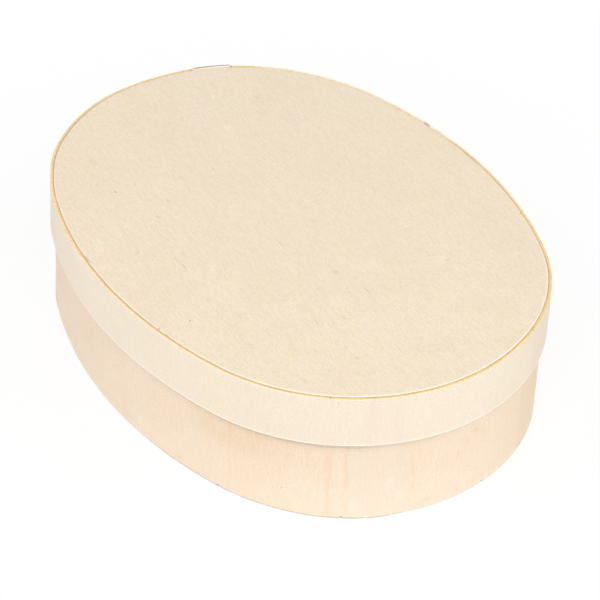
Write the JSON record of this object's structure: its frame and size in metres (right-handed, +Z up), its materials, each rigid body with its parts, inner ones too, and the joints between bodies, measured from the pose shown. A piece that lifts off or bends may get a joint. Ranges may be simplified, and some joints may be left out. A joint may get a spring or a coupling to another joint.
{
  "type": "oval bentwood box",
  "caption": "Shallow oval bentwood box with a lift-off lid: bent strip sides with glued laps, flat inset panels for lid top and bottom.",
  "frame": {"origin": "middle of the foot, on the surface the box stands on", "axes": "+X along the oval's length, +Y along its width, +Z up, the way the lid lifts"},
  "size_m": [0.2, 0.149, 0.051],
  "materials": {
    "lid_strip": "plain sanded pale strip, grain upright",
    "lid_panel": "plain sanded pale panel, grain along the oval",
    "box_strip": "plain sanded pale peach strip, grain upright",
    "bottom_panel": "plain sanded pale panel, grain along the oval"
  },
  "bodies": {
    "box": {"box_band": "box_strip", "box_bottom": "bottom_panel"},
    "lid": {"lid_band": "lid_strip", "lid_top": "lid_panel"}
  },
  "joints": [
    {"name": "lid_lift", "type": "slide", "parent": "box", "child": "lid", "axis": [0, 0, 1], "range_m": [0, 0.06]}
  ]
}
